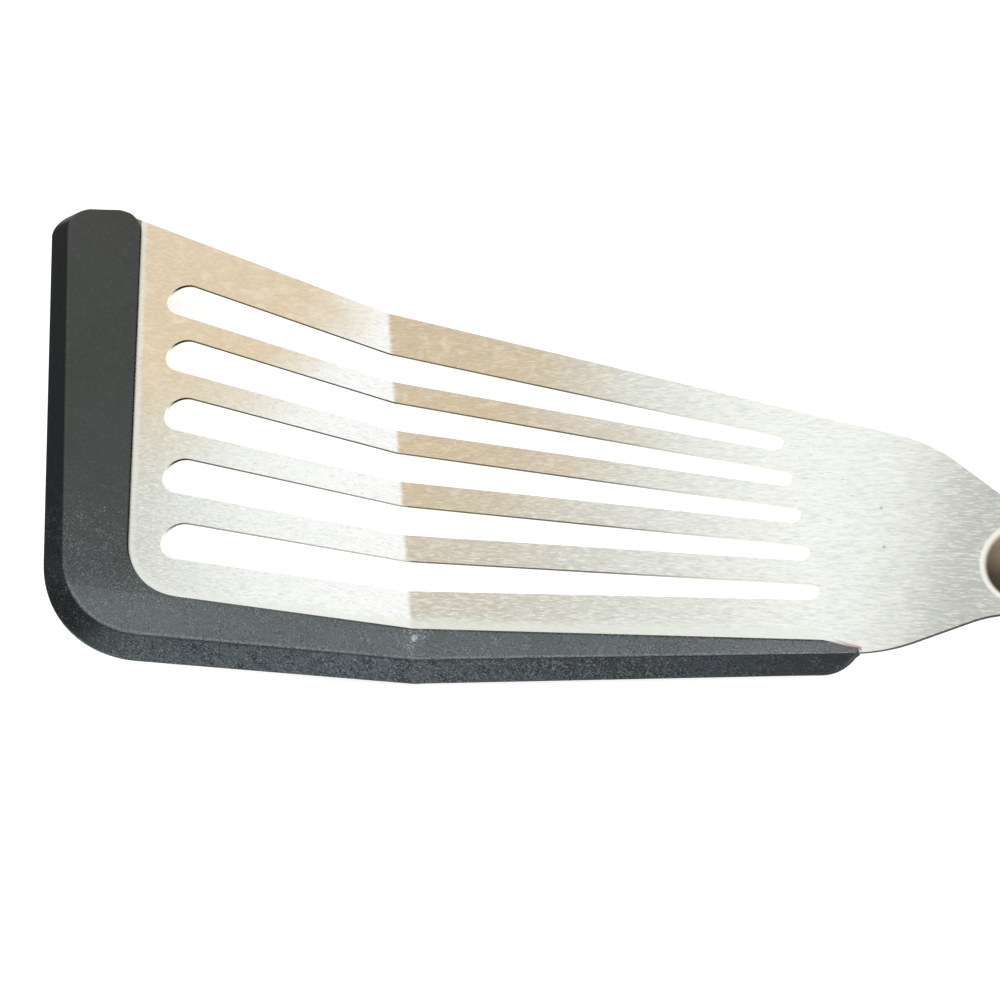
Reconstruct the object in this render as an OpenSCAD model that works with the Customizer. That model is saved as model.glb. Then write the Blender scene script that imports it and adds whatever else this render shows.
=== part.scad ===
// Slotted turner: a creased and slotted steel head with a silicone edge on two sides,
// a beaded shank, and two handle scales riveted to a full tang.
//
// Frame: the turner lies on a table at z = 0, face up, with the handle along +X.
// The flat pattern is drawn in two plane frames that share one origin, where the
// handle line crosses the crease on the upper face of the sheet. In the handle frame
// x runs along the handle. In the head frame x runs square to the crease and y along
// it, so the head frame is the handle frame turned by head_skew.

/* [Sheet] */
// Thickness of the stamped steel sheet
sheet_t = 0.8; // [0.7:0.1:1.4]

/* [Head] */
// Width of the steel head across the handle line, at the crease
head_w = 53.9; // [50:0.1:64]
// Angle at which each side of the head closes in towards the shank
side_angle = 8.7; // [6:0.1:9]
// Angle of the crease and of the front edge from square to the handle
head_skew = 26.2; // [14:0.1:30]
// Rise of the front panel, bent up at the crease, as a share of its length
bend_share = 0.28; // [0.1:0.01:0.4]
// Bare steel from the crease to the silicone, square to the crease
panel_l = 43.8; // [40:0.1:50]

/* [Slots] */
// Number of slots
slot_n = 5; // [3:1:5]
// Radius of the round front end of a slot
slot_front_r = 3.2; // [2.4:0.1:4]
// Radius of the round rear end of a slot
slot_rear_r = 1.1; // [0.9:0.1:2]
// Distance between slots at their front ends, along the crease, as a share of the head's width
slot_front_share = 0.2226; // [0.18:0.0001:0.23]
// Distance between slots at their rear ends, along the crease, as a share of the head's width
slot_rear_share = 0.1076; // [0.09:0.0001:0.12]
// Steel from the rear end centres to the start of the neck on the near side, square to the crease
slot_neck_gap = 6.55; // [5:0.05:15]
// Steel between the silicone and the front end centres
slot_inset = 8.55; // [7:0.05:12]
// Sideways shift of the front ends from the handle line
slot_front_shift = 1.4; // [-1:0.1:1.5]
// Sideways shift of the rear ends from the handle line
slot_rear_shift = 2.4; // [-1:0.1:2.5]

/* [Silicone edge] */
// Height of the silicone over each face of the sheet
lip_rise = 0.8; // [0.5:0.1:1.5]
// Upright wall left under the bevel
lip_wall = 0.6; // [0.4:0.1:1]
// Width of the bevel at the front
bevel_front_w = 3.8; // [2:0.1:4.5]
// Width of the bevel at the tip
bevel_tip_w = 2.1; // [1.5:0.1:3]
// Width of the flat front band at its far end
band_far_w = 13.8; // [11:0.1:16]
// Width of the flat front band at the corner
band_corner_w = 10; // [8.5:0.1:12]
// Width of the flat side band at the corner
band_side_w = 7.2; // [6:0.1:9]
// Width of the flat side band where the tip begins
band_tip_w = 1.7; // [1.5:0.1:3.5]
// Length of the near side edge behind the crease
side_l = 62.7; // [60:0.1:70]
// Length of the front edge beyond the handle line, along the crease
far_l = 68.2; // [58:0.1:72]
// Drop of the far end from its outer corner to the steel
far_drop = 3.2; // [0:0.1:5]
// Overlap of the silicone on the steel at the tip
tip_lap = 1.4; // [0.8:0.05:1.5]

/* [Silicone corners] */
// Radius of the flat face at the outer corner
ridge_corner_r = 17; // [10:0.1:18]
// Radius of the outer edge at the outer corner
outer_corner_r = 20.8; // [12:0.1:22]
// Radius of the bare steel in the inner corner
inner_corner_r = 12; // [8:0.5:14]
// Radius of the flat face at the outer corner of the far end
far_ridge_r = 2; // [1:0.5:4]
// Radius of the outer edge at the outer corner of the far end
far_foot_r = 3.5; // [2:0.5:6]
// Radius of the far end where it meets the steel
far_inner_r = 6; // [2:0.5:10]
// Radius of the outer edge at the tip
tip_outer_r = 10; // [7:0.5:12]
// Radius of the inner edge at the tip
tip_inner_r = 9; // [6:0.5:10]

/* [Silicone tip] */
// Angle at which the outer edge sweeps up to the steel
tip_sweep = 42; // [30:1:55]
// Angle at which the inner edge dives to the tip
tip_dive = 32; // [20:1:45]
// Distance from the end of the side edge to the sweep of the foot
tip_foot_back = 4.2; // [3:0.1:6]
// Distance from the end of the side edge to the sweep of the flat face
tip_ridge_back = 1.4; // [0.5:0.1:3]
// Distance from the end of the side edge to the dive of the inner edge
tip_inner_back = 5.5; // [4:0.1:8]

/* [Anchors] */
// Width of the steel held inside the front silicone
anchor_front = 6; // [5:0.5:7.5]
// Width of the steel held inside the side silicone at the corner
anchor_side = 4.2; // [3:0.1:5]
// Silicone past the held steel at the far end
anchor_cover = 8; // [5:0.5:9]
// Length of the held steel that is cut off at a slope at the far end
anchor_slope = 2; // [1:0.5:4]
// Length of the far edge of the steel that is held inside the silicone
anchor_lap = 1; // [0.5:0.1:2]
// Radius of the anchor holes in the front
anchor_front_r = 1.5; // [1:0.1:2]
// Radius of the anchor holes in the side
anchor_side_r = 0.8; // [0.5:0.1:1]
// Distance between anchor holes
anchor_pitch = 10; // [8:0.5:11]

/* [Neck and shank] */
// Steel left between the end of the side edge and the start of the neck
neck_gap = 1.3; // [1:0.1:8]
// Angle at which the neck narrows
neck_angle = 32; // [25:0.5:45]
// Radius of the shoulders of the neck
shoulder_r = 21; // [12:0.5:24]
// Radius where the neck meets the shank
throat_r = 14; // [6:0.5:16]
// Width of the shank
shank_w = 13.4; // [13:0.1:16]

/* [Bead] */
// Distance from the start of the shank to the centre of the bead's round front end
bead_gap = 1.9; // [1:0.1:10]
// Distance between the end centres of the bead
bead_l = 30; // [20:0.5:31]
// Width of the bead at the upper face
bead_w = 10.6; // [9:0.1:12]
// Depth of the bead
bead_d = 3; // [2:0.1:4]

/* [Handle] */
// Distance from the centre of the bead's round rear end to the front of the scales
tang_gap = 14.3; // [13:0.1:20]
// Length of the scales
handle_l = 116; // [106:0.5:130]
// Width of the handle at its front
handle_front_w = 18; // [17:0.5:20]
// Width of the handle at the palm
handle_palm_w = 25; // [22:0.5:27]
// Width of the handle at the waist before the butt
handle_waist_w = 22; // [20:0.5:24]
// Width of the handle at the butt
handle_butt_w = 25; // [22:0.5:26]
// Length of the tang's widening in front of the scales
ramp_l = 7; // [5:0.5:9]
// Radius where the shank meets the widening
ramp_r = 5; // [3:0.5:8]
// Radius where the widening meets the handle
ramp_handle_r = 8; // [4:0.5:10]
// Share of the handle's length at which the palm is widest
palm_share = 0.56; // [0.5:0.01:0.62]
// Radius of the palm along the handle
palm_r = 160; // [120:5:200]
// Share of the handle's length at which the waist is narrowest
waist_share = 0.82; // [0.78:0.01:0.86]
// Radius of the waist along the handle
waist_r = 60; // [40:5:80]
// Radius of the butt corners
butt_r = 11; // [8:0.5:11]
// Thickness of one scale at its crown
scale_t = 7; // [6:0.1:9]
// Drop of the crown from its middle to the ends of the scale
crown_drop = 2.5; // [1:0.1:3]
// Radius of the crown across the handle
crown_r = 17; // [16:0.5:24]
// Angle of the sloped front face of a scale from upright
scale_front_angle = 35; // [0:1:45]

/* [Rivets] */
// Radius of a rivet head
rivet_head_r = 3.4; // [2.8:0.1:4]
// Outer radius of a rivet's hollow stem
rivet_stem_r = 2.2; // [2:0.1:2.4]
// Radius of a rivet's solid pin
rivet_pin_r = 1.5; // [1.2:0.1:1.6]
// Distance from the front of the scales to the first rivet
rivet_x = 17; // [14:0.5:20]
// Distance from the last rivet to the hanging hole
rivet_back = 25; // [20:0.5:30]
// Height of the seat under a rivet head above the tang
rivet_seat = 2.6; // [2:0.1:3.2]
// Radial clearance of each rivet part in its hole
rivet_gap = 0.05; // [0.02:0.01:0.1]

/* [Hanging eyelet] */
// Radius of the hanging hole
eyelet_bore_r = 3; // [2.5:0.1:3.2]
// Wall of the eyelet
eyelet_wall = 0.6; // [0.4:0.1:0.8]
// Radius of the eyelet's flanges
eyelet_flange_r = 5; // [4.6:0.1:5.5]
// Distance from the hanging hole to the end of the butt
eyelet_x = 12; // [10:0.5:13]
// Depth of the flange seat under the crown
eyelet_sink = 1.2; // [1:0.1:1.6]
// Radial clearance of the eyelet in its holes
eyelet_gap = 0.05; // [0.02:0.01:0.1]

/* [Hidden] */
// One rivet for each pair of rivet nodes
rivet_n = 3;
// Number of anchor holes in the side, on the part of it that is bent up
anchor_side_n = 3;
$fn = 96;

// Overrun of every cut past the faces it opens
over = 1;
// Number of steps in each rounded corner of an outline
corner_steps = 10;
// Number of steps along the crown of a scale
crown_steps = 24;
// Upward bend of the front panel
bend_angle = asin(bend_share);
// Half height of the slabs that the fold is cut from
fold_h = 7;
// Least length of a slab that stands for a flat outline in a hull
skin = 0.01;

// Outlines are lists of corners [x, y, radius].
function turned(p, ang) = [p.x * cos(ang) - p.y * sin(ang), p.x * sin(ang) + p.y * cos(ang)];
function unit(v) = v / norm(v);
function angle_of(v) = atan2(v.y, v.x);
function short_turn(a) = a > 180 ? a - 360 : a < -180 ? a + 360 : a;
function rounded_corner(p, q, r, radius) =
    let (u = unit(p - q),
         v = unit(r - q),
         half = acos(u * v) / 2,
         centre = q + unit(u + v) * radius / sin(half),
         start = angle_of(q + u * radius / tan(half) - centre),
         turn = short_turn(angle_of(q + v * radius / tan(half) - centre) - start))
    [for (i = [0 : corner_steps]) centre + radius * [cos(start + turn * i / corner_steps),
                                                     sin(start + turn * i / corner_steps)]];
function plane(c) = [c.x, c.y];
function outline(corners) =
    [for (i = [0 : len(corners) - 1])
        let (n = len(corners), c = corners[i])
        each c.z > 0
            ? rounded_corner(plane(corners[(i + n - 1) % n]), plane(c), plane(corners[(i + 1) % n]), c.z)
            : [plane(c)]];

// Lines of the head frame are [offset, slope], with y = offset + slope * x.
function on_line(l, x) = [x, l[0] + l[1] * x];
function meet_x(l, m) = (m[0] - l[0]) / (l[1] - m[1]);
function line_through(p, q) = let (slope = (q.y - p.y) / (q.x - p.x)) [p.y - slope * p.x, slope];
// A side of the head as a line of the head frame, side is 1 for the far one and -1 for the near one
function side_line(side, half_w) =
    let (p = turned([0, side * half_w], -head_skew),
         q = turned([half_w, side * half_w * (1 - tan(side_angle))], -head_skew))
    line_through(p, q);

slot_front_pitch = head_w * slot_front_share;
slot_rear_pitch = head_w * slot_rear_share;
front_a = -panel_l;
steel_far = side_line(1, head_w / 2);
steel_near = side_line(-1, head_w / 2);
bare_near = side_line(-1, head_w / 2 - tip_lap);
handle_line_slope = -tan(head_skew);

// Start of the neck on the near side in the head frame, and places along the handle in the
// handle frame
neck_a = side_l + neck_gap;
neck_x = turned(on_line(steel_near, neck_a), head_skew).x;
neck_y = head_w / 2 - neck_x * tan(side_angle);
shank_y = shank_w / 2;
shank_x = neck_x + (neck_y - shank_y) / tan(neck_angle);
bead_x = shank_x + bead_gap;
handle_x = bead_x + bead_l + tang_gap;
handle_end = handle_x + handle_l;
// Farther than any point of the turner is from the crease
reach = handle_end + far_l;

// Flat face of the silicone, bounded by the ridge of the bevel
ridge_far = [front_a - band_far_w, far_l];
far_end = line_through(ridge_far, [front_a, far_l - far_drop]);
ridge_bend = [front_a - band_corner_w, on_line(bare_near, front_a).y];
ridge_side = line_through(on_line(bare_near, front_a) - [0, band_side_w],
                          on_line(bare_near, side_l) - [0, band_tip_w]);
// Outer edge of the silicone at its foot
foot_far = on_line(far_end, ridge_far.x - bevel_front_w);
foot_bend = ridge_bend - [bevel_front_w, 0];
foot_side = line_through(on_line(ridge_side, front_a) - [0, bevel_front_w],
                         on_line(ridge_side, side_l) - [0, bevel_tip_w]);
// Where a straight left edge meets a side line
function left_corner(far, bend, side) =
    let (slope = (bend.x - far.x) / (bend.y - far.y),
         y = (side[0] + side[1] * (far.x - slope * far.y)) / (1 - side[1] * slope))
    [far.x + slope * (y - far.y), y];
ridge_corner = left_corner(ridge_far, ridge_bend, ridge_side);
foot_corner = left_corner(foot_far, foot_bend, foot_side);

// The rear tip of the silicone, where its outer edge sweeps up to the steel
tip_foot = on_line(foot_side, side_l - tip_foot_back);
tip_ridge = on_line(ridge_side, side_l - tip_ridge_back);
tip_inner = on_line(bare_near, side_l - tip_inner_back);
function swept(p) = p + side_l * [cos(tip_sweep), sin(tip_sweep)];
// A corner just past the far end, which is cut with the bare steel
function past_end(x, radius) = [x, on_line(far_end, x).y + skin, radius];

ridge_corners = [past_end(ridge_far.x, far_ridge_r),
                 [ridge_corner.x, ridge_corner.y, ridge_corner_r],
                 [tip_ridge.x, tip_ridge.y, 0],
                 past_end(swept(tip_ridge).x, 0)];
foot_corners = [past_end(foot_far.x, far_foot_r),
                [foot_corner.x, foot_corner.y, outer_corner_r],
                [tip_foot.x, tip_foot.y, tip_outer_r],
                [swept(tip_foot).x, swept(tip_foot).y, 0],
                past_end(swept(tip_foot).x, 0)];
// Bare steel inside the silicone, drawn past every other side of the head
bare_end = tip_inner + side_l * [cos(tip_dive), -sin(tip_dive)];
bare_corners = [[foot_far.x - over, on_line(far_end, foot_far.x - over).y, 0],
                [front_a, far_l - far_drop, far_inner_r],
                [front_a, on_line(bare_near, front_a).y, inner_corner_r],
                [tip_inner.x, tip_inner.y, tip_inner_r],
                [bare_end.x, bare_end.y, 0],
                [bare_end.x, far_l + reach, 0],
                [foot_far.x - over, far_l + reach, 0]];

// Steel hidden in the silicone
anchor_corner_r = inner_corner_r;
anchor_far_l = far_l - anchor_cover;
anchor_a = front_a - anchor_front;
anchor_end_a = side_l - tip_ridge_back;
anchor_line = line_through(on_line(bare_near, front_a) - [0, anchor_side], on_line(steel_near, anchor_end_a));
anchor_corner = on_line(anchor_line, anchor_a);
anchor_tip = on_line(steel_near, anchor_end_a);
anchor_far = on_line(steel_far, front_a - anchor_lap);

// Neck, shank and tang, in the handle frame, upper half
handle_half = [[handle_x, handle_front_w / 2, ramp_handle_r],
               [handle_x + handle_l * palm_share, handle_palm_w / 2, palm_r],
               [handle_x + handle_l * waist_share, handle_waist_w / 2, waist_r],
               [handle_end, handle_butt_w / 2, butt_r]];
neck_half = [[neck_x, neck_y, shoulder_r],
             [shank_x, shank_y, throat_r],
             [handle_x - ramp_l, shank_y, ramp_r]];
upper_half = concat(neck_half, handle_half);
function mirrored(corners) = [for (i = [len(corners) - 1 : -1 : 0]) [corners[i].x, -corners[i].y, corners[i].z]];
function in_handle(p, radius) = let (q = turned(p, head_skew)) [q.x, q.y, radius];
blade_corners = concat([in_handle(anchor_far, 0)],
                       upper_half,
                       mirrored(upper_half),
                       [in_handle(anchor_tip, 0),
                        in_handle(anchor_corner, anchor_corner_r),
                        in_handle([anchor_a, anchor_far_l], 0),
                        in_handle([anchor_a + anchor_slope, anchor_far_l + anchor_slope], 0)]);
scale_corners = concat([[handle_x, handle_front_w / 2, 0]],
                       [for (i = [1 : 3]) handle_half[i]],
                       mirrored([for (i = [1 : 3]) handle_half[i]]),
                       [[handle_x, -handle_front_w / 2, 0]]);

// Bead of the shank, a round-bottomed gutter with round ends
bead_r = (pow(bead_w / 2, 2) + pow(bead_d, 2)) / (2 * bead_d);
bead_z = bead_r - bead_d;

// Crown of the scales: an arc along the handle and an arc across it
crown_mid = handle_x + handle_l / 2;
crown_long_r = (pow(handle_l / 2, 2) + pow(crown_drop, 2)) / (2 * crown_drop);
function crown_at(x) = scale_t - crown_long_r + sqrt(pow(crown_long_r, 2) - pow(x - crown_mid, 2));
eyelet_at = handle_end - eyelet_x;
rivet_first = handle_x + rivet_x;
rivet_pitch = (eyelet_at - rivet_back - rivet_first) / (rivet_n - 1);
rivet_xs = [for (i = [0 : rivet_n - 1]) rivet_first + i * rivet_pitch];
eyelet_seat = crown_at(eyelet_at) - eyelet_sink;
eyelet_l = 2 * (eyelet_seat + eyelet_wall) + sheet_t;

// The turner rests on the far end of its crease and on the lower scale, which tips the
// handle plane by rest_tilt. The contact on the crown is the tangent point of its arc.
rest_x = turned([0, steel_far[0]], head_skew).x;
rest_run = crown_mid - rest_x;
rest_drop = crown_long_r - scale_t;
rest_tilt = atan2(rest_run, rest_drop) - acos(crown_long_r / norm([rest_run, rest_drop]));

// A point of the head frame, folded, turned to the handle and tipped to rest
function folded(p) = p.x < 0
    ? [p.x * cos(bend_angle) + p.z * sin(bend_angle), p.y, p.z * cos(bend_angle) - p.x * sin(bend_angle)]
    : p;
function tipped(p) = [p.x * cos(rest_tilt) - p.z * sin(rest_tilt), p.y, p.z * cos(rest_tilt) + p.x * sin(rest_tilt)];
function placed(p) = let (f = folded(p), q = turned(f, head_skew)) tipped([q.x, q.y, f.z]);
edge_h = sheet_t + 2 * lip_rise;
foot_z = lip_rise - edge_h;
foot_wall_z = foot_z + lip_wall;
edge_points = [for (p = outline(foot_corners), z = [foot_z, foot_wall_z]) if (p.x < 0) placed([p.x, p.y, z])];
butt_z = -sheet_t - scale_t + crown_drop;
butt_point = tipped([handle_end, 0, butt_z + crown_r - sqrt(pow(crown_r, 2) - pow(handle_butt_w / 2 - butt_r, 2))]);
low_points = [placed([0, steel_far[0], -sheet_t]).z, placed([0, bare_near[0], foot_z]).z];
centre = [(min([for (p = edge_points) p.x]) + butt_point.x) / 2,
          (min([for (p = edge_points) p.y]) + max([for (p = edge_points) p.y])) / 2,
          min(low_points)];

module at_rest() {
    translate(-centre)
        rotate([0, -rest_tilt, 0])
            children();
}

// Draws its children, flat in the head frame, with the front bent up at the crease
module fold() {
    lean = fold_h * tan(bend_angle / 2);
    rotate([0, 0, head_skew]) {
        intersection() {
            children();
            rotate([90, 0, 0])
                linear_extrude(2 * reach, center = true)
                    polygon([[reach, -fold_h], [-lean, -fold_h], [lean, fold_h], [reach, fold_h]]);
        }
        rotate([0, bend_angle, 0])
            intersection() {
                children();
                rotate([90, 0, 0])
                    linear_extrude(2 * reach, center = true)
                        polygon([[-reach, -fold_h], [lean, -fold_h], [-lean, fold_h], [-reach, fold_h]]);
            }
    }
}

module through(z0, z1, r, fit) {
    translate([0, 0, z0])
        cylinder(h = z1 - z0, r = r + fit);
}

function arc(at, r, from, turn) =
    [for (i = [0 : corner_steps]) at + r * [cos(from + turn * i / corner_steps), sin(from + turn * i / corner_steps)]];

// A slot tapers from its front end to its rear end, and both ends are round
module slot_cut(i) {
    place = i - (slot_n - 1) / 2;
    front_x = front_a + slot_inset;
    rear_x = neck_a - slot_neck_gap;
    front = [front_x, handle_line_slope * front_x + slot_front_shift - place * slot_front_pitch];
    rear = [rear_x, handle_line_slope * rear_x + slot_rear_shift - place * slot_rear_pitch];
    heading = angle_of(rear - front);
    quarter = 90 - asin((slot_front_r - slot_rear_r) / norm(rear - front));
    translate([0, 0, -sheet_t - over])
        linear_extrude(sheet_t + 2 * over)
            polygon(concat(arc(front, slot_front_r, heading + quarter, 360 - 2 * quarter),
                           arc(rear, slot_rear_r, heading - quarter, 2 * quarter)));
}

module anchor_hole(p, r) {
    translate([p.x, p.y, -sheet_t - over])
        cylinder(h = sheet_t + 2 * over, r = r);
}

module anchor_holes() {
    front_first = on_line(bare_near, front_a).y + inner_corner_r;
    front_n = floor((anchor_far_l - anchor_pitch / 2 - front_first) / anchor_pitch);
    for (i = [0 : front_n])
        anchor_hole([front_a - anchor_front / 2, front_first + i * anchor_pitch], anchor_front_r);
    for (i = [0 : anchor_side_n - 1])
        let (x = front_a + inner_corner_r + i * anchor_pitch)
            anchor_hole((on_line(bare_near, x) + on_line(anchor_line, x)) / 2, anchor_side_r);
}

// The flat pattern of the blade before its slots are cut
module anchored_blank() {
    difference() {
        rotate([0, 0, -head_skew])
            translate([0, 0, -sheet_t])
                linear_extrude(sheet_t)
                    polygon(outline(blade_corners));
        anchor_holes();
    }
}

module bead_body(r) {
    translate([bead_x, 0, bead_z]) {
        sphere(r = r);
        rotate([0, 90, 0])
            cylinder(h = bead_l, r = r);
        translate([bead_l, 0, 0])
            sphere(r = r);
    }
}

module tang_holes() {
    for (x = rivet_xs)
        translate([x, 0, 0])
            through(-sheet_t - over, over, rivet_stem_r, rivet_gap);
    translate([eyelet_at, 0, 0])
        through(-sheet_t - over, over, eyelet_bore_r + eyelet_wall, eyelet_gap);
}

module blade() {
    color("silver")
        at_rest()
            difference() {
                union() {
                    fold()
                        difference() {
                            anchored_blank();
                            for (i = [0 : slot_n - 1])
                                slot_cut(i);
                        }
                    intersection() {
                        bead_body(bead_r + sheet_t);
                        translate([bead_x - bead_w, -bead_w, -bead_d - sheet_t - over])
                            cube([bead_l + 2 * bead_w, 2 * bead_w, bead_d + over + sheet_t / 2]);
                    }
                }
                bead_body(bead_r);
                tang_holes();
            }
}

module silicone_edge() {
    color("dimgray")
        at_rest()
            fold()
                difference() {
                    hull() {
                        translate([0, 0, lip_rise - skin])
                            linear_extrude(skin)
                                polygon(outline(ridge_corners));
                        translate([0, 0, foot_z])
                            linear_extrude(lip_wall)
                                polygon(outline(foot_corners));
                    }
                    translate([0, 0, foot_z - over])
                        linear_extrude(edge_h + 2 * over)
                            polygon(outline(bare_corners));
                    anchored_blank();
                }
}

// The crowned block that a scale is cut from, drawn above z = 0
module crown_block() {
    intersection() {
        rotate([90, 0, 0])
            linear_extrude(2 * handle_palm_w, center = true)
                polygon(concat([for (i = [0 : crown_steps])
                                    let (x = handle_x + handle_l * i / crown_steps) [x, crown_at(x)]],
                               [[handle_end, 0], [handle_x, 0]]));
        translate([crown_mid, 0, scale_t - crown_r])
            rotate([0, 90, 0])
                cylinder(h = 2 * handle_l, r = crown_r, center = true);
    }
}

// One scale, drawn above z = 0 with its flat face on the tang
module scale() {
    difference() {
        intersection() {
            linear_extrude(scale_t + over)
                polygon(outline(scale_corners));
            crown_block();
        }
        translate([handle_x, 0, 0])
            rotate([0, scale_front_angle, 0])
                translate([-handle_l, -handle_palm_w, -over])
                    cube([handle_l, 2 * handle_palm_w, 2 * scale_t]);
        for (x = rivet_xs)
            translate([x, 0, 0]) {
                through(-over, scale_t + over, rivet_stem_r, rivet_gap);
                through(rivet_seat, scale_t + over, rivet_head_r, rivet_gap);
            }
        translate([eyelet_at, 0, 0]) {
            through(-over, scale_t + over, eyelet_bore_r + eyelet_wall, eyelet_gap);
            through(eyelet_seat, scale_t + over, eyelet_flange_r, eyelet_gap);
        }
    }
}

module under() {
    translate([0, 0, -sheet_t])
        mirror([0, 0, 1])
            children();
}

module handle_scale_upper() {
    color([0.09, 0.09, 0.1])
        at_rest()
            scale();
}

module handle_scale_lower() {
    color([0.09, 0.09, 0.1])
        at_rest()
            under()
                scale();
}

// A rivet head, ground flush with the crown, drawn above z = 0
module rivet_head(x) {
    intersection() {
        crown_block();
        translate([x, 0, 0])
            through(rivet_seat, scale_t + over, rivet_head_r, 0);
    }
}

module rivet_pin(x) {
    color("gainsboro")
        at_rest() {
            rivet_head(x);
            translate([x, 0, 0])
                through(-sheet_t - rivet_seat, rivet_seat, rivet_pin_r, 0);
        }
}

module rivet_socket(x) {
    color("gainsboro")
        at_rest()
            difference() {
                union() {
                    under()
                        rivet_head(x);
                    translate([x, 0, 0])
                        through(-sheet_t - rivet_seat, rivet_seat, rivet_stem_r, 0);
                }
                translate([x, 0, 0])
                    through(-sheet_t - rivet_seat, rivet_seat + over, rivet_pin_r, rivet_gap);
            }
}

module hanging_eyelet() {
    color("gainsboro")
        at_rest()
            translate([eyelet_at, 0, -sheet_t / 2])
                difference() {
                    union() {
                        cylinder(h = eyelet_l, r = eyelet_bore_r + eyelet_wall, center = true);
                        for (side = [0, 1])
                            mirror([0, 0, side])
                                translate([0, 0, eyelet_l / 2 - eyelet_wall])
                                    cylinder(h = eyelet_wall, r = eyelet_flange_r);
                    }
                    cylinder(h = eyelet_l + 2 * over, r = eyelet_bore_r, center = true);
                }
}

blade();
silicone_edge();
handle_scale_upper();
handle_scale_lower();
rivet_pin(rivet_xs[0]);  // rivet_pin_front
rivet_pin(rivet_xs[1]);  // rivet_pin_middle
rivet_pin(rivet_xs[2]);  // rivet_pin_rear
rivet_socket(rivet_xs[0]);  // rivet_socket_front
rivet_socket(rivet_xs[1]);  // rivet_socket_middle
rivet_socket(rivet_xs[2]);  // rivet_socket_rear
hanging_eyelet();
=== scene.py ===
# Looks of a slotted turner: a creased and slotted steel head with a silicone edge on two
# sides, a beaded shank, and two handle scales riveted to a full tang.
#
# Shapes are worked out in mm in the flat pattern of the sheet and then placed. The head
# frame has s square to the crease and t along it. The handle frame is turned by SKEW from
# it, with u along the handle and v across it. Both share the origin where the handle line
# crosses the crease, with z = 0 at the sheet's upper face.
import math

import bmesh
import bpy
import numpy as np
from mathutils import Matrix, Vector
from mathutils.geometry import delaunay_2d_cdt
from numpy.linalg import norm


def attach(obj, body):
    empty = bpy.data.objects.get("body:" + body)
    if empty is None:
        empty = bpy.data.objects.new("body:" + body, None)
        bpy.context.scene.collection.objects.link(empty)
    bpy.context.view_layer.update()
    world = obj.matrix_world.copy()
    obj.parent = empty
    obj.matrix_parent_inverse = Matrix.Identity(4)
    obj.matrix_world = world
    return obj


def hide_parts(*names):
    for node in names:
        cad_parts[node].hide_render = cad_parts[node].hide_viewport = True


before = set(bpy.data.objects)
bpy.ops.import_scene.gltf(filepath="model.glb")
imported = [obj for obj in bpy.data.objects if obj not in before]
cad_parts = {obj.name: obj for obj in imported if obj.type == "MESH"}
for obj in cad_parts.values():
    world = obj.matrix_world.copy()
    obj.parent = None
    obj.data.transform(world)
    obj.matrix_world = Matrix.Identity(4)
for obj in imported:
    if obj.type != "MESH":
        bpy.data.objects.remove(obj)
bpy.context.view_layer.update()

MM = 0.001

# Frame: turn of the head, bend at the crease, tilt and origin of the turner at rest
SKEW = math.radians(26.2)
BEND = math.asin(0.28)
BEND_HALF = 0.45
TILT = math.radians(2.02001)
CENTRE = np.array([85.7617, -1.61559, -1.305])

# Sheet and head
SHEET = 0.8
HEAD_W = 53.9
SIDE_ANGLE = math.radians(8.7)
FRONT_S = -43.8
SHEET_EDGE_R = 0.14
FOLD_CUTS = [BEND_HALF * k / 3 for k in range(-3, 4)]

# Slots
SLOT_N = 5
SLOT_FRONT_R = 3.2
SLOT_REAR_R = 1.1
SLOT_FRONT_PITCH = 11.9981
SLOT_REAR_PITCH = 5.79964
SLOT_L = 92.7
SLOT_INSET = 8.55
SLOT_FRONT_SHIFT = 1.4
SLOT_REAR_SHIFT = 2.4

# Silicone edge
LIP = 0.8
FOOT_WALL = 0.6
BEVEL_FRONT = 4.15
BEVEL_CORNER = 3.8
BEVEL_TIP = 2.1
BAND_FAR = 13.45
BAND_CORNER = 9.6
BAND_SIDE = 7.2
BAND_TIP = 1.7
SIDE_L = 62.7
FAR_L = 68.2
FAR_DROP = 3.2
TIP_LAP = 1.4
RIDGE_CORNER_R = 17
FOOT_CORNER_R = 20.8
INNER_CORNER_R = 12
FAR_RIDGE_R = 3.4
FAR_FOOT_R = 4.2
FAR_INNER_R = 6
TIP_OUTER_R = 5
TIP_INNER_R = 5
TIP_TURN_R = 0.12
TIP_SWEEP = math.radians(42)
TIP_DIVE = math.radians(29.5)
TIP_FOOT_BACK = 3.9
TIP_RIDGE_BACK = 1.4
TIP_INNER_BACK = 5.1
LIP_EDGE_R = 0.2
RIDGE_R = 0.6
END_R = 0.4
FOOT_EDGE_R = 0.28
GAP_MOUTH = 0.18
GAP_FLOOR = 0.08
GAP_DEPTH = 0.12

# Steel inside the silicone
ANCHOR_FRONT = 6
ANCHOR_SIDE = 4.2
ANCHOR_COVER = 8
ANCHOR_SLOPE = 2
ANCHOR_LAP = 1

# Neck, shank and bead
NECK_X = 78.6662
NECK_ANGLE = math.radians(32)
SHOULDER_R = 21
THROAT_R = 14
SHANK_W = 13.4
BEAD_X = 93.7088
BEAD_L = 30
BEAD_W = 10.6
BEAD_D = 3
BEAD_RIM_R = 1.2

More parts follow.
